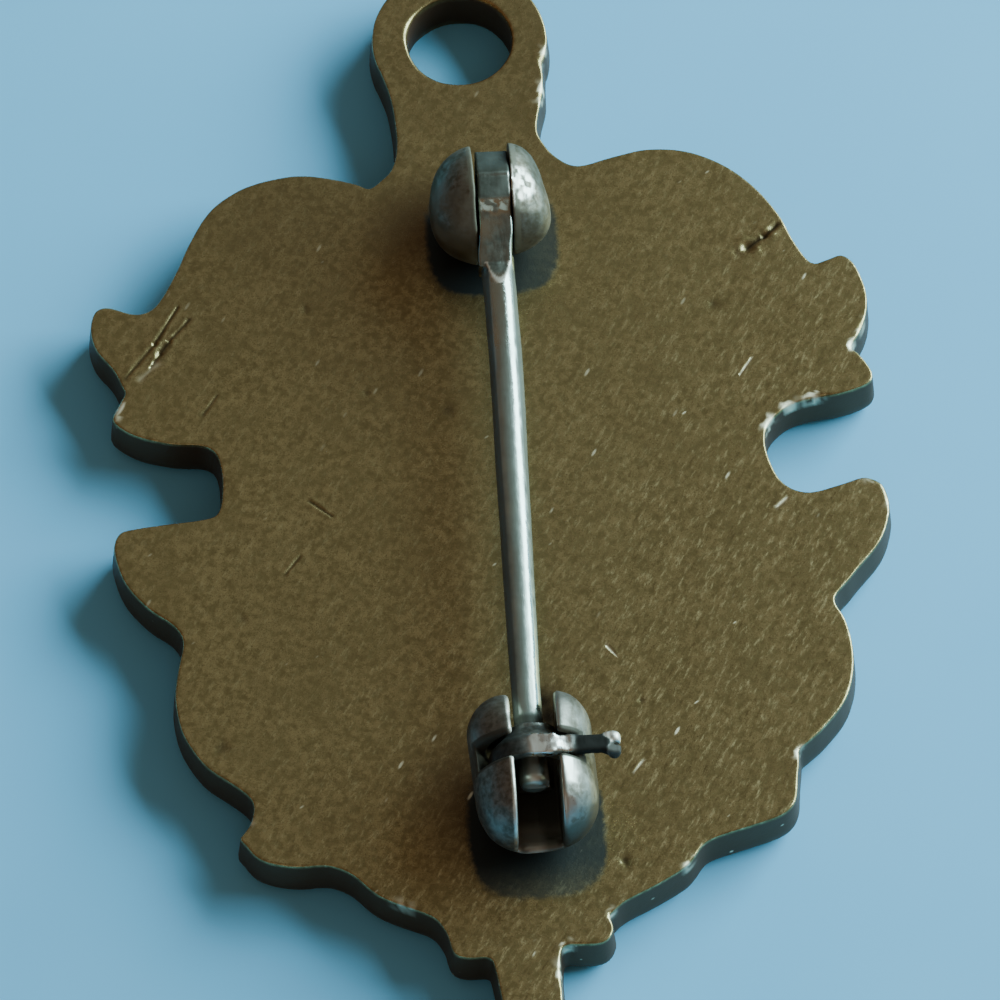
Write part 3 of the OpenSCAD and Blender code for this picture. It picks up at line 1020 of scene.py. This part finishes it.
def hinge_field(p):
    side = p[:, 0] - PIVOT[0]
    face = (p - KNUCKLE_BALL) @ HAMMERED_FACE - KNUCKLE_R
    face = face + 0.03 * noise(p, 0.26, 63) + 0.02 * noise(p, 0.13, 66)
    right = both(cheek_field(p, *RIGHT_CHEEK), face, 0.10)
    left = both(cheek_field(p, *LEFT_CHEEK), side + HEAD_HALF + LEFT_GAP, 0.06)
    right = both(right, HEAD_HALF + RIGHT_GAP - side, 0.04)
    floor = both(ball(p, KNUCKLE_BALL, KNUCKLE_R), p[:, 2] - BACK - 0.2)
    body = joined(joined(left, right), floor, 0.08)
    body = joined(body + dents(p, 0.6, 0.014, 64), foot(p, KNUCKLE), 0.12)
    hole = disc(p, RIVET_MIDDLE, 0, RIVET_R + RIVET_PLAY, RIVET_HALF + 0.02)
    return above_back(p, without(body, hole))


def hinge_marks(p):
    """The hinge is rubbed bright where it was hammered, with painted glints and highlights; it is
    darkened with painted shade inside its gaps and on its left cheek, and with tarnish and painted
    shade low down.
    """
    marks = blank_marks(p)
    side, along, up = (p - PIVOT).T
    away = np.linalg.norm(p - KNUCKLE_BALL - KNUCKLE_R * HAMMERED_FACE, axis=1)
    # The hammered face is rubbed clean, which also stands in for its highlight.
    marks["worn"] = (1 - rises(away, 0.38, 0.2)) * patches(p, 0.17, 65, 0.55, 1.4)
    # On the left this low tarnish also serves as painted shade.
    marks["dull"] = low_tarnish(p) * (side < 0)
    # Its bright crinkles are painted glints.
    crinkles = (1 - rises(away, 0.42, 0.2)) * patches(p, 0.16, 67, 0, 2.2)
    # A painted highlight along the right cheek's inner edge.
    beside = side - HEAD_HALF - RIGHT_GAP
    line = rises(beside, 0.005, 0.01) * falls(beside, 0.075, 0.03)
    line = line * rises(along, -1.0, 0.15) * falls(along, 0.35, 0.2) * (up > 0.5)
    marks["bare_and_highlight"] = most(0.7 * crinkles, 0.85 * line)
    # Painted shade in the gaps on both sides of the head.
    inner = most(rises(side, -HEAD_HALF - LEFT_GAP - 0.08, 0.05), falls(beside, 0.005, 0.01))
    inner = inner * (np.abs(side) < HEAD_HALF + LEFT_GAP + 0.14)
    on_right = rises(side, 0.6, 0.2) * rises(away, 0.5, 0.4)
    # The left cheek, which faces away from the light, is darkened with mottled tarnish and painted
    # shade.
    on_left = (side < 0) * patches(p, 0.45, 69, 0.7, 0.8)
    dirt_and_shade = most(grime_and_shade(p, 0.9), 0.9 * inner, 0.3 * on_right, 0.7 * on_left)
    marks["dirt_and_shade"] = dirt_and_shade * (1 - marks["bare_and_highlight"])
    return marks


def rivet_field(p):
    bar = disc(p, RIVET_MIDDLE, 0, RIVET_R - RIVET_PLAY, RIVET_HALF - RIVET_PLAY) - RIVET_PLAY
    return bar + dents(p, 0.2, 0.005, 71)


# Pin stem

STEM_LEAN = math.radians(0.6)
STEM_RISE = math.atan(0.25 / 18.22)
STEM_LEN = 18.78
HEAD_R = 1.32
HEAD_ROUND = 0.07
NECK_LEN = 2.4
NECK_SHIFT = -0.07
WIRE_R = 0.46
WIRE_END_R = 0.41
TAPER_START = 5
TAPER_LEN = 11
WAVE_H = 0.012
WAVE_LEN = 3.4
POINT_ROUND = 0.25

# Places along the neck and its height there: where its slope starts under the head, where the
# slope ends, and where the V at the wire's end meets the wire's top.
NECK_START = (0.92, 0.87)
FLAT_END = (2.32, 0.33)
FACET_END = (2.97, 0.455)

# How far the wire strays to the right of straight at places along it.
WIRE_BEND = (
    [0, 2, 3.5, 5, 7, 8.5, 10.5, 12, 14, 15.7, 17.3, 18.78],
    [0, 0, 0.015, 0.04, 0.03, 0.0, -0.01, -0.03, -0.04, -0.07, -0.05, 0.02],
)

# The head's flats: the angle that each faces, round from the badge's top to its back and on
# towards the wire, and how far it lies from the pivot.
HEAD_FLATS = [(62, 1.225), (106, 1.275), (133, 1.29)]


def along_stem(p):
    """Points in the stem's own frame: X across it, Y back from its point, Z up, pivot at 0."""
    return turned(turned(p - PIVOT, 2, -STEM_LEAN), 0, -STEM_RISE)


def over_line(back, z, a, b):
    """How far points lie above a line that is given by two places along the stem."""
    dx, dz = b[0] - a[0], b[1] - a[1]
    return ((z - a[1]) * dx - (back - a[0]) * dz) / math.hypot(dx, dz)


def head_field(q, back):
    head = disc(q, np.zeros(3), 0, HEAD_R, HEAD_HALF)
    for angle, reach in HEAD_FLATS:
        a = math.radians(angle)
        head = both(head, q[:, 1] * math.cos(a) + q[:, 2] * math.sin(a) - reach, 0.06)
    above = over_line(back, np.abs(q[:, 2]), NECK_START, FLAT_END)
    half = HEAD_HALF - 0.01 * rises(back, 0.5, 1.8)
    middle = NECK_SHIFT * rises(back, 1.3, 0.9)
    neck = both(above, both(0.2 - back, back - NECK_LEN), 0.02)
    flat = joined(head, neck, 0.05)
    return both(flat, np.abs(q[:, 0] - middle) - half + 0.02 * noise(q, 0.6, 83) ** 2, HEAD_ROUND)


def wire_field(q, back):
    r = WIRE_R + (WIRE_END_R - WIRE_R) * rises(back, TAPER_START, TAPER_LEN)
    bend = np.column_stack([np.interp(back, *WIRE_BEND), WAVE_H * np.sin(back / WAVE_LEN)])
    wire = np.linalg.norm(q[:, [0, 2]] - bend, axis=1) - r
    wire = both(wire, NECK_LEN - 0.35 - back)
    wire = both(wire, back - STEM_LEN, POINT_ROUND)
    below = np.minimum(over_line(back, q[:, 2], NECK_START, FLAT_END),
                       over_line(back, q[:, 2], FLAT_END, FACET_END))
    return both(wire, below, 0.015)


def stem_field(p):
    q = along_stem(p)
    back = -q[:, 1]
    stem = joined(head_field(q, back), wire_field(q, back), 0.015)
    hole = disc(q, np.zeros(3), 0, RIVET_R + RIVET_PLAY, 3)
    stem = without(stem, hole)
    near_neck = 1 - rises(back, 3, 5)
    crumpled = np.exp(-((back - 0.85) / 0.22) ** 2) * (q[:, 2] > 0)
    stem = stem + 0.012 * crumpled * noise(askew(q), 0.13, 84)
    stem = stem + (0.002 + 0.008 * near_neck) * noise(askew(q * np.array([1, 0.4, 1])), 0.25, 81)
    return stem + 0.003 * noise(askew(q), 0.17, 82)


def head_marks(p, q, back):
    """The head's painted highlights and painted shade, by the angle round it from the badge's top:
    a bright streak, a bright right edge, and shade on its upper flats and under the right cheek.
    """
    across = q[:, 0]
    angle = np.degrees(np.arctan2(q[:, 2], q[:, 1]))
    on_head = (back < 1.1) * (q[:, 2] > 0.4)
    # A painted highlight streak on the head's flat towards the wire.
    streak = rises(angle, 120, 6) * falls(angle, 150, 12) * ease(0.9 - 1.2 * across)
    streak = streak * patches(askew(p), 0.14, 85, 0.5, 1.5)
    # A painted highlight on the head's right edge.
    right_edge = rises(across, HEAD_HALF - 0.06, 0.04) * rises(angle, 88, 4)
    # Painted shade on the head's upper flats and under the right cheek.
    top = falls(angle, 92, 5)
    band = rises(angle, 92, 4) * falls(angle, 124, 5)
    hidden = rises(across, 0.1, 0.12) * falls(angle, 70, 12)
    dark = most(0.9 * top, 0.7 * band, 0.85 * hidden)
    return streak * on_head, 0.8 * right_edge * on_head, dark * on_head


def wire_marks(p, q, back):
    """How worn, bare and dark the wire is: bright along its top, with painted highlights on its V
    and its point, and painted shade down its sides, underneath and where it goes into the catch.
    """
    across, up = q[:, 0], q[:, 2]
    on_wire = rises(back, 2.4, 0.4)
    facet = np.abs(over_line(back, up, FLAT_END, FACET_END))
    rim = np.abs(np.hypot(across, up) - WIRE_R)
    # Painted highlights along the V's edges.
    vee = falls(facet, 0.022, 0.015) * falls(rim, 0.035, 0.02) * (back > 2.2) * (back < 3.1)
    # A painted highlight on top of the point.
    point_highlight = rises(back, 17.6, 0.3) * rises(across, -0.25, 0.2) * (up > 0)
    # Painted shade down the wire's left and right sides, which also narrows its highlight, and on
    # its edges and underside.
    left = falls(across, -0.02, 0.3) * on_wire * (0.40 + 0.4 * rises(back, 5, 7))
    left = most(left, 0.5 * falls(across, 0.19, 0.07) * rises(back, 3, 4))
    left = left * (0.8 + 0.15 * noise(askew(p), 0.3, 86))
    right = rises(across, 0.26, 0.05) * rises(back, 3.2, 1.5)
    right = right * (0.55 + 0.3 * noise(askew(p), 0.3, 101))
    sides = rises(np.abs(across), 0.31, 0.06)
    flank = most(falls(up, 0.16, 0.2), sides, falls(across, -0.24, 0.06))
    # Painted shadow where the wire goes into the catch.
    held = rises(back, 16.5, 0.3) * falls(back, 17.7, 0.3)
    dark = most(left, right, 0.8 * flank * on_wire, 0.9 * held)
    return 0.65 * rises(back, 2.5, 0.4), most(0.9 * vee, 0.6 * point_highlight), dark


def stem_marks(p):
    q = along_stem(p)
    back = -q[:, 1]
    marks = blank_marks(p)
    pairs = zip(head_marks(p, q, back), wire_marks(p, q, back))
    marks["worn"], marks["bare_and_highlight"], dark = [most(*pair) for pair in pairs]
    marks["dirt_and_shade"] = dark * (1 - marks["worn"] * (back < 2.4))
    return marks


# Catch

LOCK_SHIFT = 0.5
CATCH_R = 1.68
CATCH_LEN = 4.35
CATCH_LEAN = math.radians(3)
CATCH_H = 1.6
CATCH_POWER = 2.5
SHOULDER_BALL_R = 1.1
SHOULDER_RISE = 0.35
ROUND_END_Y = 0.3
SLOT_HALF = 0.60
SLOT_MIDDLE = 0.05
SLOT_FLOOR = 0.5
RIM_RISE = 0.5
SLEEVE_R = 1.2
SLEEVE_T = 0.3
SLEEVE_HALF = 0.6
SLEEVE_PLAY = 0.05
TAB_HALF = 0.29
TAB_BACK = 0.32
LOCK_TURN = math.radians(110)
CATCH = LOCK_AXIS - (0, LOCK_SHIFT, 0)
CATCH_MIDDLE = np.array([CATCH[0], CATCH[1], BACK + CATCH_H])


def slot_floor(p):
    """The height of the catch's slot, whose floor rises to a rim at its lower end."""
    return BACK + SLOT_FLOOR + RIM_RISE * falls(p[:, 1], CATCH[1] - 1.15, 0.75)


def tab_room(p):
    """The groove that the lock's tab swings through, from the right over the top to the left."""
    x, y, z = (p - LOCK_AXIS + (0, TAB_BACK, 0)).T
    angle = math.pi / 2 + LOCK_TURN
    root = (SLEEVE_R + 0.06) * np.array([math.cos(angle), math.sin(angle)])
    side = np.array([-math.sin(LOCK_TURN), math.cos(LOCK_TURN)])
    left = (x - root[0]) * side[0] + (z - root[1]) * side[1]
    floor = np.where(x > 0, SLEEVE_R - SLEEVE_T - 0.06 - z, root[1] - z)
    return np.maximum(np.maximum(left, floor), np.abs(y) - TAB_HALF - SLEEVE_PLAY)


def catch_body(p):
    """The catch's ball, drawn out along the pin and set askew, with its flatter upper end."""
    q = turned(p - CATCH_MIDDLE, 2, CATCH_LEAN)
    end_on = q.copy()
    end_on[:, 1] -= np.clip(q[:, 1], CATCH_R - CATCH_LEN / 2, ROUND_END_Y)
    body = np.hypot(level_away(end_on, CATCH_POWER), q[:, 2]) - CATCH_R
    half = CATCH_R - SHOULDER_BALL_R
    end = CATCH_LEN / 2 - SHOULDER_BALL_R
    shoulder = from_stretch(q, (-half, end, SHOULDER_RISE), (half, end, SHOULDER_RISE))
    return joined(body, shoulder - SHOULDER_BALL_R, 0.2)


def catch_field(p):
    body = catch_body(p) + 0.02 + dents(p, 0.7, 0.016, 91)
    side = np.abs(p[:, 0] - CATCH[0] - SLOT_MIDDLE)
    slot = both(side - SLOT_HALF, slot_floor(p) - p[:, 2])
    body = without(body, slot, 0.16)
    body = joined(body, foot(p, CATCH), 0.12)
    bore = disc(p, LOCK_AXIS, 1, SLEEVE_R + SLEEVE_PLAY, SLEEVE_HALF + SLEEVE_PLAY)
    body = without(body, bore, 0.03)
    body = without(body, tab_room(p), 0.1)
    return above_back(p, body)


def catch_marks(p):
    """The catch is rubbed bright along its slot's edges and, also as a painted highlight, down its
    right side, with painted highlights on its left rim and at its slot's lower end; it is dark with
    painted shade in its slot and groove, and with tarnish and painted shade low down.
    """
    marks = blank_marks(p)
    side, along, height = (p - (CATCH[0] + SLOT_MIDDLE, CATCH[1], BACK)).T
    past_tab = along - LOCK_SHIFT + TAB_BACK
    above_floor = p[:, 2] - slot_floor(p)
    lower = falls(past_tab, 0, 0.2)

    # Clean metal down the right side stands for wear and also for a painted highlight.
    right = rises(side, SLOT_HALF, 0.1) * (1 - rises(side, 0.85, 0.3)) * (0.4 + 0.6 * lower)
    edge = falls(np.abs(np.abs(side) - SLOT_HALF - 0.02), 0.12, 0.08)
    worn = most(right, edge) * rises(height, 1.2, 0.5)
    marks["worn"] = worn * patches(p, 0.35, 92, 0.8, 1)
    marks["dull"] = low_tarnish(p) * (side > 0)

    # Painted highlights on the left inner rim, at the slot's lower end and on the lip of its floor,
    # which stays darker on its right half.
    rim = falls(np.abs(side + SLOT_HALF + 0.05), 0.07, 0.04) * rises(height, 1.0, 0.4)
    rim = rim * patches(p, 0.3, 93, 0.9, 1)
    end = falls(along, -1.75, 0.12) * falls(np.abs(side + 0.1), 0.45, 0.3)
    end = end * (np.abs(above_floor) < 0.2) * patches(p, 0.2, 94, 0.7, 1)
    bare_and_highlight = most(0.75 * rim, 0.6 * end)
    lip = falls(along, -0.75, 0.8) * falls(above_floor, 0.12, 0.1)
    lip = lip * (1 - 0.7 * rises(side, -0.05, 0.3)) * patches(p, 0.25, 90, 0.9, 1)
    marks["bare_and_highlight"] = most(bare_and_highlight, 0.45 * lip)

    # Painted shade inside the slot and in the tab's groove; the upper lobes are darker.
    inner = falls(np.abs(side), SLOT_HALF - 0.01, 0.04)
    groove = falls(np.abs(past_tab), TAB_HALF + 0.12, 0.1) * (side < 0)
    upper = most(0.75 * groove, 0.3 * (1 - lower)) * (height > 1.2)
    dirt_and_shade = most(grime_and_shade(p, 0.8), 0.9 * inner, upper) * (1 - bare_and_highlight)
    marks["dirt_and_shade"] = np.where(tab_room(p) < 0.13, 0.95, dirt_and_shade)
    return marks


# Lock

# The tab's middle line, as distances to the right of the lock's axis and above it.
TAB_PATH = [(0.0, 1.08), (0.25, 1.08), (1.15, 0.94), (1.95, 0.91), (2.2, 0.82)]
TAB_THICK = 0.26
GAP_HALF = math.radians(42)
PIN_ROOM = 0.48
NARROW_BY = 0.5
SPLIT_X = 2.12
SPLIT_HALF = 0.035
SPLIT_MIDDLE = 0.02

# The tab's two curled ends: a row is its side, its height over the lock's axis and its radius.
CURLS = [(1, 0.86, 0.19), (-1, 0.72, 0.17)]
CURL_X = 2.14
CURL_Y = 0.18


def sleeve_field(q):
    """The split sleeve, which narrows towards the hinge."""
    y = q[:, 1]
    narrow = rises(y, -0.2, 0.75)
    half = SLEEVE_T / 2 - 0.05 * narrow
    middle = SLEEVE_R - NARROW_BY * narrow - half
    sleeve = np.abs(np.hypot(q[:, 0], q[:, 2]) - middle) - half
    sleeve = both(sleeve, np.abs(y) - SLEEVE_HALF, 0.06)
    along, _, across = turned(q, 1, LOCK_TURN - math.pi / 2).T
    across = np.abs(across)
    wedge = across * math.cos(GAP_HALF) - along * math.sin(GAP_HALF)
    slot = both(across - PIN_ROOM, -along)
    return without(sleeve, joined(wedge, slot), 0.05)


def tab_field(q):
    """The lock's tab, with its crumpled top and its curled, split end."""
    x, v, _ = (q + (0, TAB_BACK, 0)).T
    tab = from_stretch(q[:, [0, 2]], *TAB_PATH[:2]) - TAB_THICK / 2
    for a, b in zip(TAB_PATH[1:], TAB_PATH[2:]):
        tab = joined(tab, from_stretch(q[:, [0, 2]], a, b) - TAB_THICK / 2, 0.02)
    width = TAB_HALF - 0.01 - 0.03 * rises(x, 0.9, 0.6) + 0.08 * rises(x, 1.75, 0.3)
    tab = both(tab, np.abs(v) - width, 0.12)
    for side, height, r in CURLS:
        tab = joined(tab, ball(q, (CURL_X, side * CURL_Y - TAB_BACK, height), r), 0.06)
    split = np.maximum(np.abs(v + SPLIT_MIDDLE) - SPLIT_HALF, SPLIT_X - x)
    tab = without(tab, split, 0.05)
    p = askew(q + LOCK_AXIS)
    ridges = 0.028 * noise(p, 0.24, 111) + 0.014 * noise(p, 0.13, 112)
    tab = tab + rises(x, -0.25, 0.1) * falls(x, 1.25, 0.2) * ridges
    return both(tab, -x - 0.1)


def lock_field(p):
    q = p - LOCK_AXIS
    return joined(sleeve_field(q), tab_field(q), 0.05) + dents(p, 0.3, 0.008, 95)


def lock_marks(p):
    """The lock is scraped bright on its tab's top, with painted glints there, and its end's upper
    prong is bright; it is darker out along the tab, on its lower prong, and with painted shade
    where it lies inside the catch.
    """
    marks = blank_marks(p)
    x, v, z = (p - LOCK_AXIS + (0, TAB_BACK, 0)).T
    tip = rises(x + 0.12 * noise(p, 0.2, 96), 1.95, 0.1)
    upper = rises(v, -0.02, 0.06)
    on_tab = rises(z, 0.85, 0.1) * falls(np.abs(v), 0.38, 0.06)
    # Clean metal on the tab's top, where scraped patches also stand in for painted glints.
    marks["worn"] = rises(x, -0.2, 0.2) * falls(x, 1.08, 0.15) * on_tab
    stem_side = rises(x, 0.95, 0.25) * (1 - tip)
    # Painted shade where the lock lies inside the catch.
    hidden = falls(x, -0.1, 0.3)
    marks["dirt_and_shade"] = most(stem_side, 0.8 * hidden, tip * (1 - upper))
    scraped_and_glint = marks["worn"] * patches(askew(p), 0.13, 98, 0.5, 1.8)
    shiny = 0.05 + 0.95 * upper * patches(p, 0.12, 99, 0.8, 1.5)
    marks["bare_and_highlight"] = 0.6 * scraped_and_glint + tip * shiny
    return marks


# Setting

FLOOR_HALF_M = 2.0
FLOOR_CORNERS = [(-1, -1), (1, -1), (1, 1), (-1, 1)]
FLOOR_DARK = (0.20, 0.62, 0.96)
FLOOR_LIGHT = (0.21, 0.64, 0.98)


def floor():
    mesh = bpy.data.meshes.new("floor")
    points = [(x * FLOOR_HALF_M, y * FLOOR_HALF_M, 0) for x, y in FLOOR_CORNERS]
    mesh.from_pydata(points, [], [(0, 1, 2, 3)])
    material, tree, shader = new_material("pale_card")
    cloud = grain(tree, millimetres(tree), 0.12, 3)
    colour = blend_colour(tree, span(tree, cloud, 0.3, 0.7), FLOOR_DARK, FLOOR_LIGHT)
    feed(tree, shader, {"Base Color": colour, "Roughness": 0.9, "Specular IOR Level": 0.2})
    mesh.materials.append(material)
    placed("floor", mesh)


def direction(azimuth, elevation):
    """The way towards a place that is azimuth degrees from +Y towards +X, and so high."""
    a, e = math.radians(azimuth), math.radians(elevation)
    return Vector((math.sin(a) * math.cos(e), math.cos(a) * math.cos(e), math.sin(e)))


def panel(name, azimuth, elevation, distance, size, watts, colour):
    """A soft light panel that faces the object."""
    light = bpy.data.lights.new(name, "AREA")
    light.shape = "RECTANGLE"
    light.size, light.size_y = size
    light.energy = watts
    light.color = colour
    made = placed(name, light)
    towards = direction(azimuth, elevation)
    made.location = towards * distance
    made.rotation_euler = towards.to_track_quat("Z", "Y").to_euler()


ROOM_COLOUR = (0.20, 0.130, 0.085)
HIGH_COLOUR = (0.185, 0.163, 0.138)
NEAR_COLOUR = (0.50, 0.57, 0.56)


def glow(tree, place, azimuth, elevation, edge, core):
    """1 near a direction, and 0 away from it. Its edge and core are cosines of the angle."""
    towards = vector_maths(tree, "DOT_PRODUCT", place, direction(azimuth, elevation))
    return span(tree, towards["Value"], edge, core)


def room():
    """A dim warm room, cooler high up behind the badge, with a bright spot on the near side."""
    world = bpy.data.worlds.new("room")
    world.use_nodes = True
    tree = world.node_tree
    place = add(tree, "ShaderNodeTexCoord", {}).outputs["Generated"]
    colour = blend_colour(tree, glow(tree, place, 12, 62, 0.55, 0.98), ROOM_COLOUR, HIGH_COLOUR)
    colour = blend_colour(tree, glow(tree, place, 192, 34, 0.93, 0.985), colour, NEAR_COLOUR)
    feed(tree, tree.nodes["Background"], {"Color": colour})
    bpy.context.scene.world = world


def lights():
    panel("window_light", azimuth=66, elevation=27, distance=0.26, size=(0.27, 0.17),
          watts=2.1, colour=(0.60, 0.90, 1.0))
    room()


VIEW_HEADING = 4
VIEW_TILT = 30
VIEW_DISTANCE = 200
VIEW_AT = Vector((0.16, -0.575, BACK))
VIEW_LENS = 261.36
SENSOR_W = 36
CLIP_NEAR_M, CLIP_FAR_M = 0.01, 10


def camera():
    data = bpy.data.cameras.new("camera")
    data.lens = VIEW_LENS
    data.sensor_width = SENSOR_W
    data.clip_start = CLIP_NEAR_M
    data.clip_end = CLIP_FAR_M
    made = placed("camera", data)
    look = -direction(VIEW_HEADING + 180, 90 - VIEW_TILT)
    made.location = (VIEW_AT - look * VIEW_DISTANCE) * MM
    made.rotation_euler = look.to_track_quat("-Z", "Y").to_euler()
    bpy.context.scene.camera = made


STEP = 0.045
LOCK_STEP = STEP * 0.8

camera()
floor()
lights()
badge()
carve("hinge_ball", "hinge_knuckle", "badge", "hinge_nickel",
      hinge_field, hinge_marks, BALL_ROOM, STEP)
carve("hinge_pin", "hinge_rivet", "badge", "rivet_steel",
      rivet_field, blank_marks, BAR_ROOM, STEP)
carve("pin_wire", "pin_stem", "pin", "stem_nickel",
      stem_field, stem_marks, BAR_ROOM, STEP)
carve("catch_ball", "catch_housing", "badge", "catch_nickel",
      catch_field, catch_marks, BALL_ROOM, STEP)
carve("catch_tab", "catch_lock", "lock", "lock_nickel",
      lock_field, lock_marks, BAR_ROOM, LOCK_STEP)
